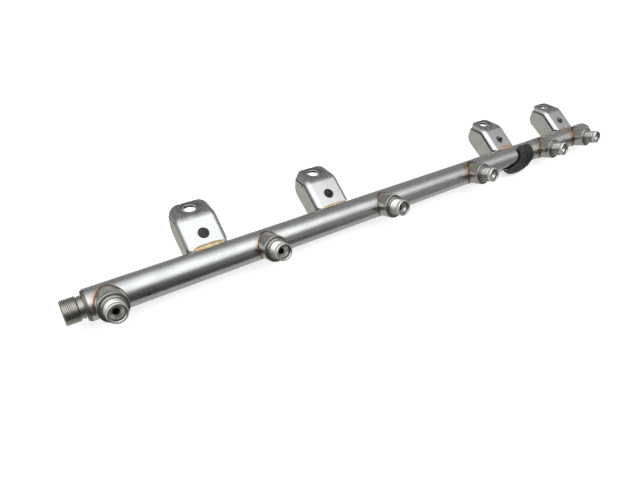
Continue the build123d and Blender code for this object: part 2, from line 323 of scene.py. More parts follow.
def make_thread(minor, major, pitch, start, end, tip_radius):
    """Cut a thread along Z: a screwed strip between two planes, eased down to its root at both ends."""
    first, depth = start - pitch, major - minor
    piece = draw_chain([(minor + share * depth, 0, first + place * pitch) for share, place in RIDGE])
    bpy.ops.object.mode_set(mode="OBJECT")
    finish_modifier(
        piece,
        "SCREW",
        axis="Z",
        angle=math.tau,
        screw_offset=pitch,
        iterations=math.ceil((end - first) / pitch) + 1,
        steps=72,
        render_steps=72,
        use_merge_vertices=True,
    )
    bpy.ops.object.mode_set(mode="EDIT")
    bpy.ops.mesh.select_all(action="SELECT")
    bpy.ops.mesh.remove_doubles(threshold=0.01 * MM)
    for height, normal in ((start, (0, 0, -1)), (end, (0, 0, 1))):
        bpy.ops.mesh.select_all(action="SELECT")
        bpy.ops.mesh.bisect(plane_co=(0, 0, height), plane_no=normal, clear_outer=True)
    recalculate()
    bpy.ops.object.mode_set(mode="OBJECT")
    for vertex in piece.data.vertices:
        x, y, z = vertex.co
        radius = math.hypot(x, y)
        limit = min(minor + 0.9 * (z - start), tip_radius + (end - z), major)
        if radius > limit:
            vertex.co = (x * limit / radius, y * limit / radius, z)
    return piece


def add_node(tree, kind, inputs=(), **settings):
    """Add a node with its settings and its inputs, in order or by name: links, numbers or colours."""
    node = tree.nodes.new("ShaderNode" + kind)
    for key, value in settings.items():
        setattr(node, key, value)
    for place, value in inputs.items() if isinstance(inputs, dict) else enumerate(inputs):
        socket = node.inputs[place]
        if isinstance(value, bpy.types.NodeSocket):
            tree.links.new(value, socket)
        else:
            socket.default_value = (*value, 1.0) if socket.type == "RGBA" else value
    return node


def math_node(tree, operation, *inputs, clamp=False):
    """Add a Math node and give back its output."""
    return add_node(tree, "Math", inputs, operation=operation, use_clamp=clamp).outputs[0]


def noise_node(tree, vector, scale, detail, roughness):
    """Add a Noise Texture and give back its value."""
    inputs = {"Vector": vector, "Scale": scale, "Detail": detail, "Roughness": roughness}
    return add_node(tree, "TexNoise", inputs).outputs[0]


def range_node(tree, value, from_low, from_high, to_low=0.0, to_high=1.0):
    """Add a smooth Map Range and give back its result."""
    inputs = (value, from_low, from_high, to_low, to_high)
    return add_node(tree, "MapRange", inputs, interpolation_type="SMOOTHSTEP").outputs[0]


def mix_colour(tree, factor, first, second):
    """Mix two colours by way of the Mix node's colour sockets, inputs 6 and 7 and output 2."""
    return add_node(tree, "Mix", {0: factor, 6: first, 7: second}, data_type="RGBA").outputs[2]


def new_group(name, inputs, outputs):
    """Make a shader node group that takes a vector and other named inputs and gives named numbers."""
    tree = bpy.data.node_groups.new(name, "ShaderNodeTree")
    tree.interface.new_socket(name="Vector", in_out="INPUT", socket_type="NodeSocketVector")
    for label, value in inputs.items():
        kind = "NodeSocketFloat" if isinstance(value, float) else "NodeSocketVector"
        tree.interface.new_socket(name=label, in_out="INPUT", socket_type=kind).default_value = value
    for label in outputs:
        tree.interface.new_socket(name=label, in_out="OUTPUT", socket_type="NodeSocketFloat")
    return tree, tree.nodes.new("NodeGroupInput").outputs, tree.nodes.new("NodeGroupOutput").inputs


def satin_grain_group():
    """Fine drawn grain with cloudy shine, for plated steel."""
    inputs = {"Cloud scale": 60.0, "Grain scale": 900.0, "Stretch": (1.0, 1.0, 1.0)}
    tree, given, result = new_group("Satin grain", inputs, ("Cloud", "Grain", "Height"))
    scaled = add_node(tree, "VectorMath", (given["Vector"], given["Stretch"]), operation="MULTIPLY")
    cloud = noise_node(tree, given["Vector"], given["Cloud scale"], 4.0, 0.6)
    grain = noise_node(tree, scaled.outputs[0], given["Grain scale"], 2.0, 0.6)
    tree.links.new(range_node(tree, cloud, 0.3, 0.7), result["Cloud"])
    tree.links.new(range_node(tree, grain, 0.25, 0.75), result["Grain"])
    tree.links.new(math_node(tree, "MULTIPLY_ADD", cloud, 0.3, grain), result["Height"])


def handling_marks_group():
    """Small pits and thin scratches from handling."""
    inputs = {"Pit scale": 90.0, "Pit size": 0.1, "Scratch scale": 30.0}
    tree, given, result = new_group("Handling marks", inputs, ("Pits", "Scratches"))
    # A pit in one cell of four, darkest inside half its size
    spread = {"Vector": given["Vector"], "Scale": given["Pit scale"], "Randomness": 1.0}
    cells = add_node(tree, "TexVoronoi", spread).outputs
    rare = add_node(tree, "SeparateColor", (cells["Color"],)).outputs[0]
    deepest = math_node(tree, "MULTIPLY", given["Pit size"], 0.5)
    close = range_node(tree, cells["Distance"], given["Pit size"], deepest)
    chosen = math_node(tree, "GREATER_THAN", rare, 0.72)
    tree.links.new(math_node(tree, "MULTIPLY", close, chosen), result["Pits"])
    # A scratch where stretched noise crosses its middle
    turned = {"Vector": given["Vector"], "Rotation": (0.3, 0.5, 0.35), "Scale": (0.08, 2.2, 1.4)}
    stretched = add_node(tree, "Mapping", turned).outputs[0]
    waves = noise_node(tree, stretched, math_node(tree, "MULTIPLY", given["Scratch scale"], 12.0), 1.0, 0.4)
    thin = math_node(tree, "ABSOLUTE", math_node(tree, "SUBTRACT", waves, 0.5))
    tree.links.new(range_node(tree, thin, 0.008, 0.0), result["Scratches"])


def braze_stain_group():
    """Copper stain on the steel round each port's seam, strongest on the side of the threaded end."""
    inputs = {"Inner": 9.0 * MM, "Outer": 12.0 * MM}
    tree, given, result = new_group("Braze stain", inputs, ("Stain",))
    x, y, z = add_node(tree, "SeparateXYZ", (given["Vector"],)).outputs
    # Distances across the ports' direction and out along it
    rise, level = math.sin(sizes().port_lift), math.cos(sizes().port_lift)
    y = math_node(tree, "SUBTRACT", y, RAIL_Y)
    z = math_node(tree, "SUBTRACT", z, RAIL_Z)
    across = math_node(tree, "MULTIPLY_ADD", y, rise, math_node(tree, "MULTIPLY", z, level))
    out = math_node(tree, "MULTIPLY_ADD", y, -level, math_node(tree, "MULTIPLY", z, rise))
    # Distance along the rail to the nearest port: five on one pitch, and the sixth by itself
    pitch = PORT_XS[1] - PORT_XS[0]
    shifted = math_node(tree, "SUBTRACT", x, PORT_XS[0] - pitch / 2)
    near = math_node(tree, "SUBTRACT", math_node(tree, "FLOORED_MODULO", shifted, pitch), pitch / 2)
    last = math_node(tree, "SUBTRACT", x, PORT_XS[5])
    past = math_node(tree, "GREATER_THAN", x, (PORT_XS[4] + PORT_XS[5]) / 2)
    along = math_node(tree, "MULTIPLY_ADD", math_node(tree, "SUBTRACT", last, near), past, near)
    squares = [math_node(tree, "POWER", part, 2.0) for part in (along, across)]
    reach = math_node(tree, "SQRT", math_node(tree, "ADD", *squares))
    # The stain's edge wanders, and reaches further out from the fourth port on
    uneven = noise_node(tree, given["Vector"], 260.0, 3.0, 0.6)
    wander = math_node(tree, "MULTIPLY_ADD", uneven, -4.5 * MM, reach)
    from_fourth = math_node(tree, "GREATER_THAN", x, (PORT_XS[2] + PORT_XS[3]) / 2)
    wander = math_node(tree, "MULTIPLY_ADD", from_fourth, -3.0 * MM, wander)
    outer, inner = (math_node(tree, "SUBTRACT", given[name], 2.2 * MM) for name in ("Outer", "Inner"))
    ring = range_node(tree, wander, outer, inner)
    side = range_node(tree, along, 3.0 * MM, -7.0 * MM, 0.1, 1.0)
    front = range_node(tree, out, 1.0 * MM, 4.0 * MM)
    patchy = range_node(tree, noise_node(tree, given["Vector"], 95.0, 2.0, 0.5), 0.3, 0.56)
    ring_side = math_node(tree, "MULTIPLY", ring, side)
    stain = math_node(tree, "MULTIPLY", ring_side, math_node(tree, "MULTIPLY", front, patchy))
    tree.links.new(stain, result["Stain"])


def place_group(tree, name, **values):
    """Place a shared node group in a material with its own links and values."""
    inputs = {label.replace("_", " "): value for label, value in values.items()}
    return add_node(tree, "Group", inputs, node_tree=bpy.data.node_groups[name]).outputs


def new_material(name, metallic):
    """Start a material and give back it, its tree, its shader and its object coordinates."""
    look = bpy.data.materials.new(name)
    look.use_nodes = True
    tree = look.node_tree
    shader = next(node for node in tree.nodes if node.type == "BSDF_PRINCIPLED").inputs
    shader["Metallic"].default_value = metallic
    return look, tree, shader, add_node(tree, "TexCoord").outputs["Object"]


def feed_shader(tree, shader, colour, rough, height, strength, distance):
    """Link a shader's colour and roughness, and put a bump over its normal."""
    bump = add_node(tree, "Bump", {"Strength": strength, "Distance": distance, "Height": height})
    for name, value in (("Base Color", colour), ("Roughness", rough), ("Normal", bump.outputs["Normal"])):
        tree.links.new(value, shader[name])


def steel_material(name, colour, rough, spread, grain_scale, cloud_scale, bump, pit_size, dark, extra=""):
    """Steel with grain, clouds and handling marks, and with what a drawn tube or a pressed plate adds."""
    look, tree, shader, vector = new_material(name, 1.0)
    stretch = (0.12, 1.0, 1.0) if extra == "drawn" else (1.0, 1.0, 1.0)
    scales = {"Cloud_scale": cloud_scale, "Grain_scale": grain_scale}
    cloud, grain, height = place_group(tree, "Satin grain", Vector=vector, Stretch=stretch, **scales)
    pit, scratch = place_group(tree, "Handling marks", Vector=vector, Pit_size=pit_size)
    tone = math_node(tree, "MULTIPLY_ADD", grain, 0.35, math_node(tree, "MULTIPLY", cloud, 0.45))
    base = mix_colour(tree, tone, [channel * dark for channel in colour], colour)
    base = mix_colour(tree, pit, base, [channel * 0.12 for channel in colour])
    if extra == "drawn":
        patch = place_group(tree, "Braze stain", Vector=vector)[0]
        base = mix_colour(tree, math_node(tree, "MULTIPLY", patch, 0.8), base, (0.42, 0.25, 0.165))
    if extra == "pressed":
        # Darker blotches on the level flanges only
        up = add_node(tree, "SeparateXYZ", (vector,)).outputs["Z"]
        level = range_node(tree, up, 0.6 * MM, 2.2 * MM)
        blotch = range_node(tree, noise_node(tree, vector, 330.0, 3.0, 0.6), 0.35, 0.65, 0.25, 0.85)
        base = mix_colour(tree, math_node(tree, "MULTIPLY", level, blotch), base, (0.36, 0.37, 0.35))
    uneven = math_node(tree, "MULTIPLY_ADD", cloud, -spread, rough)
    uneven = math_node(tree, "MULTIPLY_ADD", grain, spread, uneven)
    uneven = math_node(tree, "MULTIPLY_ADD", scratch, 0.12, uneven)
    uneven = math_node(tree, "MULTIPLY_ADD", pit, 0.3, uneven, clamp=True)
    relief = math_node(tree, "MULTIPLY_ADD", scratch, -0.6, height)
    relief = math_node(tree, "MULTIPLY_ADD", pit, -4.0, relief)
    feed_shader(tree, shader, base, uneven, relief, bump, 0.05 * MM)
    return look


def braze_material(name, colour, dark, rough):
    """Braze metal: cloudy copper or gold with darker, duller patches."""
    look, tree, shader, vector = new_material(name, 1.0)
    scales = {"Cloud_scale": 320.0, "Grain_scale": 1500.0}
    cloud, grain, height = place_group(tree, "Satin grain", Vector=vector, **scales)
    uneven = math_node(tree, "MULTIPLY_ADD", grain, 0.2, rough)
    feed_shader(tree, shader, mix_colour(tree, cloud, dark, colour), uneven, height, 0.5, 0.12 * MM)
    return look


def rubber_material(name, colour):
    """Satin black rubber, dusty in patches."""
    look, tree, shader, vector = new_material(name, 0.0)
    shader["Specular IOR Level"].default_value = 0.4
    scales = {"Cloud_scale": 180.0, "Grain_scale": 2200.0}
    cloud, grain, height = place_group(tree, "Satin grain", Vector=vector, **scales)
    base = mix_colour(tree, cloud, colour, [0.016 + channel for channel in colour])
    uneven = math_node(tree, "MULTIPLY_ADD", grain, 0.18, 0.42)
    feed_shader(tree, shader, base, uneven, height, 0.35, 0.06 * MM)
    return look


def make_materials():
    """Make the shared groups, then every material, under its short name."""
    satin_grain_group()
    handling_marks_group()
    braze_stain_group()
    chosen = colours()
    # Name, colour, roughness and its spread, scales of grain and clouds, bump, pit size, shade of the clouds
    steels = {
        "tube": ("Tube nickel", chosen.nickel, 0.20, 0.06, 900.0, 60.0, 0.06, 0.10, 0.78, "drawn"),
        "fitting": ("Fitting steel", chosen.fitting, 0.25, 0.08, 700.0, 150.0, 0.12, 0.08, 0.70),
        "thread": ("Thread steel", (0.64, 0.63, 0.585), 0.20, 0.04, 700.0, 150.0, 0.20, 0.08, 0.70),
        # Bright: near-white steel, a painted highlight on the ports' tips and on the three near ports'
        # threads
        "bright": ("Bright steel", (0.97, 0.96, 0.90), 0.45, 0.05, 700.0, 150.0, 0.15, 0.08, 0.80),
        "cone": ("Cone steel", (0.60, 0.60, 0.59), 0.34, 0.08, 900.0, 200.0, 0.20, 0.06, 0.80),
        "plate": ("Plate steel", chosen.plate, 0.21, 0.02, 500.0, 45.0, 0.008, 0.05, 0.86, "pressed"),
        # Seam: near black, painted shade in the crevice under a plate's lip and in its channel's rabbet
        "seam": ("Seam steel", (0.07, 0.07, 0.065), 0.60, 0.05, 900.0, 60.0, 0.10, 0.05, 0.80),
        # Rim: darker steel on the tube's near rim, the ports' mouth chamfers and shoulders, and the plates'
        # ring grooves, as painted shade and dark reflection
        "rim": ("Rim steel", (0.29, 0.275, 0.25), 0.38, 0.08, 900.0, 200.0, 0.20, 0.08, 0.60),
        "channel": ("Channel steel", chosen.channel, 0.52, 0.10, 1600.0, 110.0, 0.45, 0.08, 0.82),
    }
    made = {short: steel_material(*values) for short, values in steels.items()}
    # Name, colour, colour of the darker patches and roughness
    brazes = {
        "copper": ("Copper braze", chosen.copper, (0.10, 0.05, 0.035), 0.3),
        "gold": ("Golden braze", chosen.gold, (0.60, 0.43, 0.26), 0.5),
        "tan": ("Tan braze", (0.68, 0.52, 0.41), (0.50, 0.30, 0.20), 0.5),
    }
    made.update({short: braze_material(*values) for short, values in brazes.items()})
    made["rubber"] = rubber_material("Strap rubber", chosen.rubber)
    return made


MATERIALS = {}


def material(name):
    """Find a material by its short name, making them all on the first call."""
    if not MATERIALS:
        MATERIALS.update(make_materials())
    return MATERIALS[name]


class RAIL_OT_tube(bpy.types.Operator):
    """Turn the rail tube with its rounded rims"""

    bl_idname = "rail.tube"
    bl_label = "Tube"

    def execute(self, context):
        radius, bore = sizes().tube_radius, sizes().tube_bore_radius
        length = TUBE_HIGH[0] - TUBE_LOW[0]
        profile = [(bore, 0.4 * MM), (bore + 0.4 * MM, 0), (radius - 1.3 * MM, 0)]
        profile += [(radius - 1.05 * MM, 0.1 * MM), (radius - 0.15 * MM, 1.6 * MM), (radius, 2.0 * MM)]
        spans = 40
        profile += [(radius, 2.0 * MM + (length - 3.4 * MM) * step / spans) for step in range(1, spans + 1)]
        profile += [(radius - 0.2 * MM, length - 0.72 * MM), (radius - 0.72 * MM, length - 0.2 * MM)]
        profile += [(radius - 1.4 * MM, length), (bore + 0.3 * MM, length), (bore, length - 0.3 * MM)]
        profile += [(bore, length / 2), (bore, 0.4 * MM)]
        piece = turn(profile, 128)
        # The rounded rim at the end fitting's end takes the darker rim look: painted shade and dark
        # reflection
        split_looks(piece, lambda out, up: up < 1.95 and out > 6.5)
        settle(piece, Matrix.Rotation(QUARTER, 4, "Y"), (TUBE_LOW[0], RAIL_Y, RAIL_Z))
        hand_over(piece, "tube", ["rail_tube"], ["tube", "rim"])
        return {"FINISHED"}


# Turned profiles as (radius, height) in millimetres: heights from the tube's end faces, or from its axis
END_FITTING = (
    (5.4, -7.4), (5.4, 0.0), (6.3, 0.0), (6.3, 0.3), (6.95, 0.4), (7.1, 0.5), (7.1, 1.0), (6.95, 1.12),
    (6.55, 1.2), (6.55, 1.4), (6.95, 1.48), (7.1, 1.6), (7.1, 2.05), (6.95, 2.15), (6.5, 2.25),
    (6.4, 2.4), (6.4, 2.7), (7.0, 3.0), (7.2, 3.2), (7.2, 11.2), (7.2, 11.5), (7.0, 11.6), (5.15, 11.6),
    (4.9, 11.5), (2.2, 6.83), (2.2, -7.4), (5.4, -7.4),
)
END_PLUG = (
    (0.02, -9.0), (5.2, -9.0), (5.45, -8.75), (5.45, 0.0), (5.3, 0.3), (5.05, 0.4), (0.02, 0.4),
    (0.02, -9.0),
)
PORT_FITTING = (
    (9.0, 1.0), (9.0, 14.0), (9.0, 18.2), (8.9, 18.55), (8.62, 18.82), (8.3, 18.9), (7.0, 18.9),
    (6.85, 19.0), (6.85, 19.15), (7.0, 19.3), (7.0, 19.75), (6.8, 19.9), (5.5, 20.0), (5.35, 20.2),
    (5.35, 20.5), (5.45, 20.8), (5.45, 25.9), (5.3, 26.1), (5.3, 26.5), (5.85, 26.8), (5.9, 27.0),
    (5.9, 28.8), (5.75, 29.25), (5.4, 29.6), (4.98, 29.6), (4.85, 29.54), (4.3, 29.05), (4.2, 28.9),
    (4.15, 27.6), (4.05, 27.4), (2.0, 25.5), (1.9, 25.3), (1.9, 6.0), (9.0, 1.0),
)


class RAIL_OT_end_fitting(bpy.types.Operator):
    """Turn the end fitting and cut its thread"""

    bl_idname = "rail.end_fitting"
    bl_label = "End fitting"

    def execute(self, context):
        thread = (7.25 * MM, 7.95 * MM, sizes().end_thread_pitch, 2.9 * MM, 11.6 * MM, 7.15 * MM)
        piece = join([turn_mm(END_FITTING, 96), make_thread(*thread)])
        split_looks(piece, lambda out, up: up > 2.2 and out > 6.3)
        settle(piece, Matrix.Rotation(-QUARTER, 4, "Y"), (TUBE_LOW[0], RAIL_Y, RAIL_Z))
        hand_over(piece, "threaded_end", ["end_fitting"], ["fitting", "thread"], 28)
        return {"FINISHED"}


class RAIL_OT_end_plug(bpy.types.Operator):
    """Turn the far end's plug and broach its hexagon socket"""

    bl_idname = "rail.end_plug"
    bl_label = "End plug"

    def execute(self, context):
        piece = turn_mm(END_PLUG, 64)
        deselect()
        socket = {"vertices": 6, "radius": 2.6 * MM, "depth": 4.0 * MM}
        bpy.ops.mesh.primitive_cylinder_add(location=(0, 0, 0.4 * MM), **socket)
        cut_away(piece, bpy.context.object)
        settle(piece, Matrix.Rotation(QUARTER, 4, "Y"), (TUBE_HIGH[0], RAIL_Y, RAIL_Z))
        hand_over(piece, "far_plug", ["end_plug"], ["fitting"])
        return {"FINISHED"}


def port_look(out, up):
    """Which of its looks a port's face takes: body, cone, rims painted dark as painted shade and dark
    reflection, tip or thread.
    """
    if out < 4.29 and 25.4 < up < 27.5:
        return 1
    if out < 4.29 and 27.5 < up < 29.0 or 6.9 < out < 8.6 and 18.8 < up < 18.95:
        return 2
    if out > 5.2 and up > 20.1:
        return 3 if up > 26.45 else 4
    return 0


class RAIL_OT_port_fittings(bpy.types.Operator):
    """Turn one port with its thread and coned mouth, then copy it to each port"""

    bl_idname = "rail.port_fittings"
    bl_label = "Port fittings"

    def execute(self, context):
        thread = (5.5 * MM, 6.0 * MM, sizes().port_thread_pitch, 20.6 * MM, 26.1 * MM, 5.4 * MM)
        first = join([turn_mm(PORT_FITTING, 96), make_thread(*thread)])
        split_looks(first, port_look)
        for number, x in enumerate(PORT_XS, start=1):
            piece = copy_of(first)
            # Each port is screwed round by a different angle
            spin = Matrix.Rotation(math.radians(67 * number), 4, "Z")
            settle(piece, port_turn() @ spin, (x, RAIL_Y, RAIL_Z))
            # Tips take the near-white look as a painted highlight, and so do the threads of the three near
            # ports; mouth chamfers and shoulders take the rim look as painted shade
            looks = ["fitting", "cone", "rim", "bright", "bright" if number < 4 else "fitting"]
            hand_over(piece, f"port_{number}", [f"port_fitting_{number}"], looks, 28)
        bpy.data.objects.remove(first)
        return {"FINISHED"}


def cloud_texture(name, scale):
    """Make a cloud texture for a displacement."""
    texture = bpy.data.textures.new(name, "CLOUDS")
    texture.noise_scale = scale
    texture.noise_depth = 2
    return texture


class RAIL_OT_port_brazes(bpy.types.Operator):
    """Lay an uneven copper fillet round each port's seam"""

    bl_idname = "rail.port_brazes"
    bl_label = "Port braze"

    def execute(self, context):
        size = sizes()
        ripple = {"texture": cloud_texture("braze_ripple", 2.6 * MM), "strength": 0.5 * MM, "mid_level": 0.55}
        for number, x in enumerate(PORT_XS, start=1):
            deselect()
            bpy.ops.mesh.primitive_torus_add(
                major_segments=144,
                minor_segments=14,
                major_radius=size.boss_radius + 0.1 * MM,
                minor_radius=(0.36 if number < 4 else 0.9) * MM,
                location=(0, 0, 0),
            )
            piece = bpy.context.object
            for vertex in piece.data.vertices:
                x_place, y_place, z_place = vertex.co
                across = min(abs(y_place), size.tube_radius * 0.985)
                saddle = math.sqrt(size.tube_radius**2 - across**2)
                vertex.co = (x_place, y_place, saddle + 0.02 * MM + z_place)
            settle(piece, port_turn(), (x, RAIL_Y, RAIL_Z))
            finish_modifier(piece, "DISPLACE", texture_coords="LOCAL", **ripple)
            nodes = [f"port_braze_{number}"]
            hand_over(piece, f"copper_seam_{number}", nodes, ["copper"], 60)
        return {"FINISHED"}


def bracket_path():
    """Side view of a bracket plate: its foot, its bend corner and its face's direction, as (y, z)."""
    size = sizes()
    foot_angle = math.radians(53.7)
    foot = Vector((size.tube_radius * math.cos(foot_angle), size.tube_radius * math.sin(foot_angle)))
    foot += Vector((RAIL_Y, RAIL_Z))
    rise = Vector((math.cos(size.face_lean), math.sin(size.face_lean)))
    return foot, foot + rise * size.face_height, rise


def bent_line(depth, below):
    """Side view of the bent sheet at a depth behind its outer face, from below the foot to the bend."""
    size = sizes()
    foot, corner, rise = bracket_path()
    inward = Vector((rise[1], -rise[0]))
    centre = Vector((corner[0] + BEND * math.tan(size.face_lean / 2), size.plate_thickness - BEND))
    points = [foot + inward * depth - rise * below]
    for step in range(9):
        angle = size.face_lean * (1 - step / 8)
        points.append(centre + (BEND - depth) * Vector((-math.sin(angle), math.cos(angle))))
    return points


def bracket_depths(piece):
    """Each face of a bracket piece with its place and its depth behind the sheet's outer face."""
    foot, _, rise = bracket_path()
    inward = Vector((rise[1], -rise[0]))
    for polygon in piece.data.polygons:
        seen = Vector(polygon.center[1:])
        yield polygon, min((seen - foot).dot(inward), sizes().plate_thickness - seen[1])


def place_on_brackets(first, kind, looks):
    """Put a copy of a finished plate or channel at each bracket, and throw the first away."""
    flatten(first, 30)
    for number, x in enumerate(BRACKET_XS, start=1):
        piece = copy_of(first)
        settle(piece, Matrix.Identity(4), (x, 0, 0))
        hand_over(piece, f"{kind}_{number}", [f"bracket_{kind}_{number}"], looks, 30)
    bpy.data.objects.remove(first)


def plate_trims(half, rear):
    """Planes as (place, normal) that cut the flange's rear corners and round the face's lower ones."""
    foot, _, rise = bracket_path()
    cuts = []
    for side, wide, deep in ((-1, 6.6, 5.4), (1, 5.0, 4.0)):
        corner_cut = Vector((side * (half - wide * MM), rear))
        side_cut = Vector((side * half, rear - deep * MM))
        along = (side_cut - corner_cut).normalized() * side
        outward = Vector((-along[1], along[0]))
        cuts.append(((*corner_cut, 0), (*outward, 0)))
        for point, mate in ((corner_cut, Vector((0, 1))), (side_cut, Vector((side, 0)))):
            blend = (outward + mate).normalized()
            cuts.append(((*(point - blend * 0.28 * MM), 0), (*blend, 0)))
    radius = 4.8 * MM
    for step in range(1, 6):
        angle = math.radians(15 * step)
        across, down = math.sin(angle), math.cos(angle)
        low = foot + rise * radius * (1 - down)
        for side in (1, -1):
            place = (side * (half - radius + radius * across), *low)
            cuts.append((place, (side * across, -rise[0] * down, -rise[1] * down)))
    return cuts


class RAIL_OT_bracket_plates(bpy.types.Operator):
    """Press one bracket plate from sheet, then copy it to each place"""

    bl_idname = "rail.bracket_plates"
    bl_label = "Bracket plates"

    def execute(self, context):
        size = sizes()
        foot, corner, rise = bracket_path()
        top, half = size.plate_thickness, size.plate_width / 2
        rear = corner[0] + 17.9 * MM
        tangent = BEND * math.tan(size.face_lean / 2)
        # The rear edge, with its lips turned down through a fold on either side
        lip = 3.5 * MM
        steps = 8
        angles = [math.pi / 2 * step / steps for step in range(steps + 1)]
        left, right = (
            [(fold * (1 - math.cos(angle)), top - lip * (1 - math.sin(angle))) for angle in angles]
            for fold in (4.4 * MM, 4.0 * MM)
        )
        chain = [(x - half, rear, z) for x, z in left] + [(0, rear, top)]
        piece = draw_chain(chain + [(half - x, rear, z) for x, z in reversed(right)])
        # Forward along the flange, round the bend and down the face
        extrude_by((0, corner[0] + tangent - rear, 0))
        centre = (0, corner[0] + tangent, top - BEND)
        bpy.ops.mesh.spin(steps=12, angle=-size.face_lean, center=centre, axis=(1, 0, 0))
        slide = -(size.face_height - tangent + 1.2 * MM)
        extrude_by((0, rise[0] * slide, rise[1] * slide))
        for place, normal in plate_trims(half, rear):
            bpy.ops.mesh.select_all(action="SELECT")
            bpy.ops.mesh.bisect(plane_co=place, plane_no=normal, clear_outer=True)
        recalculate()
        bpy.ops.object.mode_set(mode="OBJECT")
        if sum(polygon.normal.z * polygon.area for polygon in piece.data.polygons) < 0:
            piece.data.flip_normals()
        thicken(piece, top, use_even_offset=True)
        # The bolt hole, its recess and chamfer, and the window in the face
        window = foot + rise * 10.15 * MM
        level = Matrix.Identity(4)
        cutters = (
            (4.3, 4.3, 20, (0, 0, 0), level),
            (6.6, 6.7, 1.0, (0, 0, top), level),
            (3.9, 4.9, 1.0, (0, 0, top - 0.6 * MM), level),
            (3.9, 3.9, 12, (0, *window), Matrix.Rotation(size.face_lean, 4, "X")),
        )
        for lower, upper, depth, place, turned in cutters:
            deselect()
            radii = {"radius1": lower * MM, "radius2": upper * MM}
            bpy.ops.mesh.primitive_cone_add(vertices=72, depth=depth * MM, **radii)
            cutter = bpy.context.object
            cutter.matrix_world = Matrix.Translation(place) @ turned
            bpy.context.view_layer.update()
            cut_away(piece, cutter)
        # Two fine rings round the bolt hole
        for inner, outer, deep, slope in ((6.25, 6.65, -0.7, 0.1), (8.0, 8.5, -0.35, 0.2)):
            groove = [(inner, deep), (outer, deep), (outer + slope, 1.0), (inner - slope, 1.0), (inner, deep)]
            cut_away(piece, turn_mm(groove, 72, top))
        bevel(piece, 0.28 * MM, 3, 50)
        # The lip's outer edge faces take the near-black seam look as painted shade under the lip, and the
        # faces of the two rings round the bolt hole take the rim look as painted shade and dark reflection
        for polygon, depth in bracket_depths(piece):
            x, y, z = polygon.center
            lip_painted_shade = depth > 2.75 * MM and abs(x) > half - 0.4 * MM
            reach = math.hypot(x, y)
            near_ring = 6.1 * MM < reach < 6.75 * MM or 7.7 * MM < reach < 8.75 * MM
            ring_painted_shade = top - 0.8 * MM < z < top - 0.04 * MM and y > -6.0 * MM and near_ring
            polygon.material_index = 1 if lip_painted_shade else 2 if ring_painted_shade else 0
        place_on_brackets(piece, "plate", ["plate", "seam", "rim"])
        return {"FINISHED"}


def rounded(corner, before, after, radius, steps=6):
    """Points of an arc that rounds the corner between two neighbouring points."""
    first, second = (before - corner).normalized(), (after - corner).normalized()
    half = first.angle(second) / 2
    reach = radius / math.tan(half)
    centre = corner + (first + second).normalized() * radius / math.sin(half)
    start, end = corner + first * reach - centre, corner + second * reach - centre
    sweep = start.angle_signed(end)
    return [centre + Matrix.Rotation(-sweep * step / steps, 2) @ start for step in range(steps + 1)]


class RAIL_OT_bracket_channels(bpy.types.Operator):
    """Fold one channel with a rabbet along the plate's lip, then copy it to each place"""

    bl_idname = "rail.bracket_channels"
    bl_label = "Bracket channels"

    def execute(self, context):
        size = sizes()
        half = size.plate_width / 2 - 0.2 * MM
        wall = 2.0 * MM
        axis = Vector((RAIL_Y, RAIL_Z))
        outer = ((4.95, -1.0), (5.35, -10.6), (1.65, -15.6), (14.01, -9.45))
        rear_top, rear, heel, toe = (Vector(point) * MM for point in outer)
        toe += axis
        back = rounded(rear, rear_top, heel, 3.5 * MM) + rounded(heel, rear, toe, 3.5 * MM)
        folds = [rear_top] + back + [toe]
        piece = make_block([axis] + bent_line(3.5 * MM, 0) + folds, -half, half)
        weights = piece.data.attributes.new("bevel_weight_edge", "FLOAT", "EDGE")
        for edge in piece.data.edges:
            ends = [piece.data.vertices[index].co for index in edge.vertices]
            on_side = ends[0][0] * ends[1][0] > 0
            gaps = [min((Vector(end[1:]) - point).length for point in folds) for end in ends]
            on_fold = max(gaps) < 0.01 * MM
            weights.data[edge.index].value = 1.0 if on_side and on_fold else 0.0
        finish_modifier(
            piece, "BEVEL", width=2.4 * MM, segments=6, limit_method="WEIGHT", use_clamp_overlap=False
        )
        # The open space between the ears
        rear_in, heel_in = Vector((3.3, -10.2)) * MM, Vector((0.75, -13.6)) * MM
        toe_in = toe + Vector((-3.5, 1.05)) * MM
        inside = [toe_in, axis + Vector((0, 6.0)) * MM] + bent_line(-1.0 * MM, 6.0 * MM)
        inside += [Vector((2.9, 3.5)) * MM, Vector((2.9, -1.0)) * MM, rear_in, heel_in]
        cut_away(piece, make_block(inside, wall - half, half - wall))
        # The notch for the bolt and the saddle for the tube
        notch = [Vector(point) * MM for point in ((-5.2, 4.0), (30.0, 4.0), (30.0, -12.0), (-5.2, -12.0))]
        cut_away(piece, make_block(notch, -11.1 * MM, 11.1 * MM))
        deselect()
        saddle = {"vertices": 128, "radius": size.tube_radius + 0.02 * MM, "depth": 0.1}
        bpy.ops.mesh.primitive_cylinder_add(location=(0, *axis), rotation=(0, QUARTER, 0), **saddle)
        cut_away(piece, bpy.context.object)
        # The rabbet under the plate's lip: a real recess, whose faces are painted near black further down as
        # painted shade in the seam
        leaf = bent_line(2.5 * MM, 6.0 * MM) + [Vector((20.0 * MM, 0.0))]
        leaf += [Vector((20.0, -2.0)) * MM] + list(reversed(bent_line(4.5 * MM, 6.0 * MM)))
        for side in (-1, 1):
            low, high = sorted((side * (half - 0.75 * MM), side * (half + 2 * MM)))
            cut_away(piece, make_block(leaf, low, high))
        bevel(piece, 0.15 * MM, 2, 50)
        # Faces in the rabbet take the near-black seam look: painted shade
        for polygon, depth in bracket_depths(piece):
            aside = abs(polygon.center[0])
            rabbet_painted_shade = depth < 4.85 * MM and half - 0.85 * MM < aside < half - 0.02 * MM
            polygon.material_index = 1 if rabbet_painted_shade else 0
        place_on_brackets(piece, "channel", ["channel", "seam"])
        return {"FINISHED"}


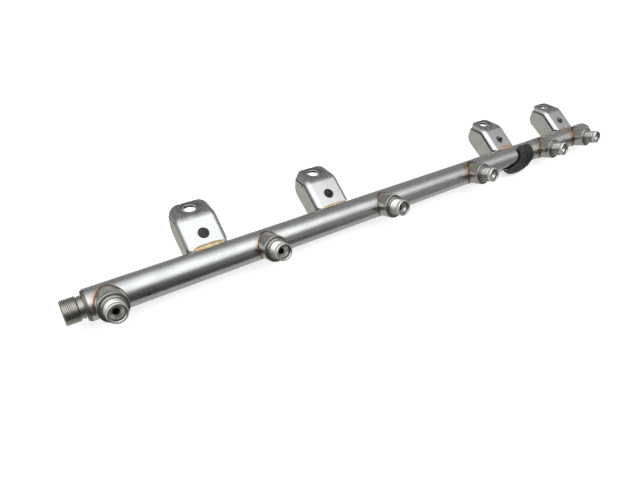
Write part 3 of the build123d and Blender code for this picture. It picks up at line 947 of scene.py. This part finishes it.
# Each foot's bead in millimetres: half its length, its shift along the rail, its height and its depth
BEADS = ((11.2, 0.2, 2.1, 2.6), (11.0, 0.0, 0.8, 1.4), (9.0, 2.0, 1.8, 2.3), (10.5, 0.0, 0.55, 1.1))


class RAIL_OT_bracket_brazes(bpy.types.Operator):
    """Lay a lumpy bead of braze along each bracket's foot"""

    bl_idname = "rail.bracket_brazes"
    bl_label = "Bracket braze"

    def execute(self, context):
        foot = bracket_path()[0]
        lump = {"texture": cloud_texture("bead_lump", 5.0 * MM), "mid_level": 0.5}
        for number, x in enumerate(BRACKET_XS, start=1):
            reach, shift, tall, deep = BEADS[number - 1]
            deselect()
            bpy.ops.mesh.primitive_uv_sphere_add(segments=48, ring_count=64, radius=1.0)
            piece = bpy.context.object
            for vertex in piece.data.vertices:
                across, out, up = vertex.co
                length = math.copysign(abs(up) ** 0.55, up)
                taper = math.sqrt(max(0.0, 1 - abs(length) ** 3))
                ring = math.hypot(across, out)
                share = (across / ring, out / ring) if ring > 1e-6 else (0, 0)
                vertex.co = (
                    (length * reach + shift) * MM,
                    share[0] * taper * deep * MM,
                    share[1] * taper * tall * MM,
                )
            tilt = Matrix.Rotation(math.radians(-4), 4, "X")
            settle(piece, tilt, (x, foot[0] + 0.25 * MM, foot[1] + 0.1 * MM))
            finish_modifier(piece, "DISPLACE", texture_coords="LOCAL", strength=tall * 0.5 * MM, **lump)
            look = "gold" if number < 3 else "tan"
            hand_over(piece, f"foot_bead_{number}", [f"bracket_braze_{number}"], [look], 60)
        return {"FINISHED"}


def follow(table, value):
    """Read a smooth curve through a table of (value, result) pairs."""
    if value <= table[0][0]:
        return table[0][1]
    for number in range(len(table) - 1):
        (low, first), (high, second) = table[number], table[number + 1]
        if value <= high:
            share = (value - low) / (high - low)
            before = table[max(number - 1, 0)]
            after = table[min(number + 2, len(table) - 1)]
            slope_in = (second - before[1]) / (high - before[0]) * (high - low)
            slope_out = (after[1] - first) / (after[0] - low) * (high - low)
            square, cube = share**2, share**3
            result = (2 * cube - 3 * square + 1) * first + (3 * square - 2 * cube) * second
            return result + (cube - 2 * square + share) * slope_in + (cube - square) * slope_out
    return table[-1][1]


# The strap's left edge, main groove and right edge in millimetres along it, by degrees round the tube
STRAP_LEFT = (
    (103, 1.2), (106, 0.6), (121, 0.0), (135, -0.3), (148, -0.6), (162, -1.9), (174, -3.6), (185, -7.2),
    (195, -11.9), (201, -15.9), (205, -19.4), (210, -20.5), (218, -17.6), (226, -14.6), (240, -8.5),
    (255, -2.0), (268, 0.0), (318, 0.0),
)
STRAP_GROOVE = (
    (103, 9.6), (128, 8.8), (165, 8.6), (181, 8.1), (202, 7.0), (215, 5.0), (226, 0.5), (238, -1.0),
    (255, 3.0), (270, 8.0), (318, 8.7),
)
STRAP_RIGHT = (
    (103, 16.4), (109, 17.2), (121, 18.2), (139, 18.5), (158, 18.8), (171, 18.8), (186, 17.9),
    (206, 17.1), (226, 17.4), (250, 18.4), (270, 18.8), (318, 18.8),
)
# How far it sags below the tube, by millimetres along it
STRAP_SAG = (
    (-20.5, 0.1), (-14.7, 1.1), (-12.6, 1.8), (-9.6, 2.6), (-4.9, 3.5), (2.1, 3.65), (8.9, 2.9),
    (16.4, 1.2), (19.0, 0.4),
)


def strap_columns():
    """The strap's columns from left to right: what each follows, its place from that and its radius."""
    skin = 12.4
    left = [(0.0, 11.5), (0.3, 11.72), (1.0, 11.75), (1.25, 12.2), (1.5, skin)]
    body = [(share / 10, skin) for share in range(1, 10)]
    groove = [(-0.9, 12.36), (-0.6, 12.1), (-0.45, 11.4), (0.45, 11.35), (0.6, 12.1), (0.9, 12.36)]
    for rib in (1.6, 3.6, 5.6):
        groove += [(rib, skin), (rib + 0.3, 12.05), (rib + 0.9, 12.0), (rib + 1.2, skin)]
    right = [(-1.5, skin), (-0.8, 12.35), (-0.3, 12.15), (0.0, 11.5)]
    parts = (("left", left), ("body", body), ("groove", groove), ("right", right))
    return [(kind, place, radius) for kind, rows in parts for place, radius in rows]


class RAIL_OT_strap(bpy.types.Operator):
    """Shape the strap: a clip round the tube's front that sags below it into a tongue"""

    bl_idname = "rail.strap"
    bl_label = "Rubber strap"

    def execute(self, context):
        columns = strap_columns()
        deselect()
        bpy.ops.mesh.primitive_grid_add(x_subdivisions=len(columns) - 1, y_subdivisions=150, size=1.0)
        piece = bpy.context.object
        order = sorted({round(vertex.co[0], 5) for vertex in piece.data.vertices})
        column_of = {place: number for number, place in enumerate(order)}
        for vertex in piece.data.vertices:
            kind, place, radius = columns[column_of[round(vertex.co[0], 5)]]
            degrees = 103 + (vertex.co[1] + 0.5) * 215
            left, groove = follow(STRAP_LEFT, degrees), follow(STRAP_GROOVE, degrees)
            right = follow(STRAP_RIGHT, degrees)
            along = {
                "left": left + place,
                "body": left + 1.5 + (groove - 0.9 - left - 1.5) * place,
                "groove": groove + place * min(1.0, (right - groove) / 9.5 if place > 0.8 else 1.0),
                "right": right + place,
            }[kind]
            # The sag is deepest at 226 degrees and fades faster towards the front
            swell = math.exp(-(((degrees - 226) / (19 if degrees < 226 else 26)) ** 2))
            reach = (radius + follow(STRAP_SAG, along) * swell) * MM
            angle = math.radians(degrees)
            x = sizes().strap_place + along * MM
            vertex.co = (x, RAIL_Y + reach * math.cos(angle), RAIL_Z + reach * math.sin(angle))
        only(piece)
        bpy.ops.object.mode_set(mode="EDIT")
        recalculate()
        bpy.ops.object.mode_set(mode="OBJECT")
        outward = 0.0
        for polygon in piece.data.polygons:
            x, y, z = polygon.center
            outward += (y - RAIL_Y) * polygon.normal[1] + (z - RAIL_Z) * polygon.normal[2]
        if outward < 0:
            piece.data.flip_normals()
        thicken(piece, 1.9 * MM)
        bevel(piece, 0.3 * MM, 3, 60)
        hand_over(piece, "strap", ["rubber_strap"], ["rubber"], 35)
        return {"FINISHED"}


def add_softbox(name, place, aim, wide, deep, energy):
    """Add a rectangular lamp that faces a point."""
    bpy.ops.object.light_add(type="AREA", location=place)
    lamp = bpy.context.object
    lamp.name = name
    lamp.data.shape = "RECTANGLE"
    lamp.data.size = wide
    lamp.data.size_y = deep
    lamp.data.energy = energy
    lamp.rotation_euler = (Vector(aim) - Vector(place)).to_track_quat("-Z", "Y").to_euler()


def add_sheet(name, place, size, look):
    """Lay a level sheet of the stage with its material."""
    bpy.ops.mesh.primitive_plane_add(size=size, location=place)
    sheet = bpy.context.object
    sheet.name = name
    sheet.data.materials.append(look)
    return sheet


def fresh_tree(owner, output):
    """Empty the nodes of a material or world, and give back its tree and its output's surface."""
    owner.use_nodes = True
    owner.node_tree.nodes.clear()
    return owner.node_tree, add_node(owner.node_tree, output).inputs["Surface"]


class RAIL_OT_stage(bpy.types.Operator):
    """Set the floor, the lamps, the world and the camera"""

    bl_idname = "rail.stage"
    bl_label = "Stage"

    def execute(self, context):
        deselect()
        floor_height = CAD_BOX[0][2] - 0.3 * MM
        floor = add_sheet("floor", (0.2, 0.0, floor_height), 8.0, self.floor_material())
        card = add_sheet("dark_card", (0.2, -0.62, floor_height + 0.2 * MM), 1.0, self.card_material())
        card.scale = (2.6, 1.12, 1.0)
        card.visible_camera = False
        card.visible_diffuse = False
        card.visible_shadow = False
        add_softbox("top_softbox", (0.1, -0.72, 0.9), (0.1, -0.72, 0.0), 1.5, 1.2, 1.6)
        add_softbox("left_softbox", (-0.9, 0.2, 0.6), (0.1, 0.0, 0.0), 0.8, 0.8, 0.3)
        self.set_world()
        self.set_camera()
        bpy.context.scene.view_settings.view_transform = "Standard"
        return {"FINISHED"}

    def floor_material(self):
        """Pale floor that stays white to the camera, keeps a faint shadow and shows dim in the metal."""
        look = bpy.data.materials.new("Pale floor")
        tree, surface = fresh_tree(look, "OutputMaterial")
        path = add_node(tree, "LightPath").outputs
        paper = add_node(tree, "BsdfDiffuse", {"Color": (0.8, 0.8, 0.8)}).outputs[0]
        white = add_node(tree, "Emission", {"Strength": 0.6}).outputs[0]
        both = add_node(tree, "AddShader", (paper, white)).outputs[0]
        dim = add_node(tree, "Emission", {"Color": (0.58, 0.58, 0.57)}).outputs[0]
        glossy = add_node(tree, "MixShader", (path["Is Glossy Ray"], paper, dim)).outputs[0]
        seen = add_node(tree, "MixShader", (path["Is Camera Ray"], glossy, both)).outputs[0]
        tree.links.new(seen, surface)
        return look

    def card_material(self):
        """Dark card that only shows in the metal, lighter towards the far end."""
        look = bpy.data.materials.new("Dark card")
        tree, surface = fresh_tree(look, "OutputMaterial")
        place = add_node(tree, "NewGeometry").outputs["Position"]
        along = add_node(tree, "SeparateXYZ", (place,)).outputs["X"]
        glow = add_node(tree, "Emission", {"Strength": range_node(tree, along, -0.05, 0.3, 0.09, 0.32)})
        tree.links.new(glow.outputs[0], surface)
        return look

    def set_world(self):
        """White to the camera, and for the metal a dim room with one bright patch high at the front."""
        world = bpy.data.worlds.new("Soft room")
        bpy.context.scene.world = world
        tree, surface = fresh_tree(world, "OutputWorld")
        direction = add_node(tree, "TexCoord").outputs["Generated"]
        x, y, z = add_node(tree, "SeparateXYZ", (direction,)).outputs
        # Angle round the rail, from level at the front upwards, and the patch's rear edge at that place
        lift = math_node(tree, "ARCTAN2", z, math_node(tree, "MULTIPLY", y, -1.0))
        edge = math_node(tree, "MINIMUM", math_node(tree, "MULTIPLY_ADD", x, -1.745, 1.85), 1.45)
        edge = math_node(tree, "MAXIMUM", edge, 0.785)
        back = range_node(tree, lift, math_node(tree, "ADD", edge, 1.05), edge)
        front = range_node(tree, lift, 0.26, 1.05)
        far = range_node(tree, x, 0.5, 0.9, 1.0, 0.4)
        near = range_node(tree, x, -0.95, -0.8, 0.05, 1.0)
        ends = math_node(tree, "MULTIPLY", far, near)
        patch = math_node(tree, "MULTIPLY", math_node(tree, "MULTIPLY", back, front), ends)
        # The dim room, darker low at the front, and the patch's gain over it
        low = range_node(tree, lift, 0.6, 0.0)
        dusk = range_node(tree, x, 0.1, 0.6, 0.10, 0.32)
        dim = math_node(tree, "MULTIPLY_ADD", low, math_node(tree, "SUBTRACT", dusk, 0.35), 0.35)
        gain = math_node(tree, "MULTIPLY", patch, math_node(tree, "SUBTRACT", 1.6, dim))
        tint = mix_colour(tree, patch, (1.0, 1.0, 0.985), (0.975, 0.99, 1.0))
        room = add_node(tree, "Background", {"Color": tint, "Strength": math_node(tree, "ADD", dim, gain)})
        white = add_node(tree, "Background", {"Color": (1.0, 1.0, 1.0)})
        to_camera = add_node(tree, "LightPath").outputs["Is Camera Ray"]
        seen = add_node(tree, "MixShader", (to_camera, room.outputs[0], white.outputs[0]))
        tree.links.new(seen.outputs[0], surface)

    def set_camera(self):
        """Place the camera at the photograph's angle, as solved from its picture 640 pixels wide."""
        bpy.ops.object.camera_add()
        camera = bpy.context.object
        camera.name = "photo_camera"
        right = Vector((0.8226011, -0.56621377, 0.05224354))
        up = Vector((0.30408135, 0.51567977, 0.80100494))
        forward = Vector((0.48048097, 0.64302126, -0.5963738))
        turned = Matrix((right, up, -forward)).transposed().to_4x4()
        camera.matrix_world = Matrix.Translation((-0.0886462, -0.2689762, 0.1817789)) @ turned
        camera.data.sensor_fit = "HORIZONTAL"
        camera.data.sensor_width = 36.0
        camera.data.lens = 474.938 / 640 * camera.data.sensor_width
        camera.data.clip_start = 0.01
        bpy.context.scene.camera = camera


class RAIL_PT_panel(bpy.types.Panel):
    """Buttons for the rail's pieces"""

    bl_label = "Fuel Rail"
    bl_idname = "RAIL_PT_panel"
    bl_space_type = "VIEW_3D"
    bl_region_type = "UI"
    bl_category = "Fuel Rail"

    def draw(self, context):
        for group in (context.scene.rail_sizes, context.scene.rail_colours):
            for name in group.bl_rna.properties.keys():
                if name not in {"rna_type", "name"}:
                    self.layout.prop(group, name)
        for operator in OPERATORS:
            self.layout.operator(operator.bl_idname)


OPERATORS = (
    RAIL_OT_tube,
    RAIL_OT_end_fitting,
    RAIL_OT_end_plug,
    RAIL_OT_port_fittings,
    RAIL_OT_port_brazes,
    RAIL_OT_bracket_plates,
    RAIL_OT_bracket_channels,
    RAIL_OT_bracket_brazes,
    RAIL_OT_strap,
    RAIL_OT_stage,
)
CLASSES = (RailSizes, RailColours, *OPERATORS, RAIL_PT_panel)


def register():
    """Register every class and hang the settings on the scene."""
    for item in CLASSES:
        bpy.utils.register_class(item)
    bpy.types.Scene.rail_sizes = bpy.props.PointerProperty(type=RailSizes)
    bpy.types.Scene.rail_colours = bpy.props.PointerProperty(type=RailColours)


def unregister():
    """Take the settings and the classes away again."""
    del bpy.types.Scene.rail_colours
    del bpy.types.Scene.rail_sizes
    for item in reversed(CLASSES):
        bpy.utils.unregister_class(item)


def main():
    """Build every piece in order."""
    register()
    bpy.ops.rail.tube()
    bpy.ops.rail.end_fitting()
    bpy.ops.rail.end_plug()
    bpy.ops.rail.port_fittings()
    bpy.ops.rail.port_brazes()
    bpy.ops.rail.bracket_plates()
    bpy.ops.rail.bracket_channels()
    bpy.ops.rail.bracket_brazes()
    bpy.ops.rail.strap()
    bpy.ops.rail.stage()


if __name__ == "__main__":
    main()
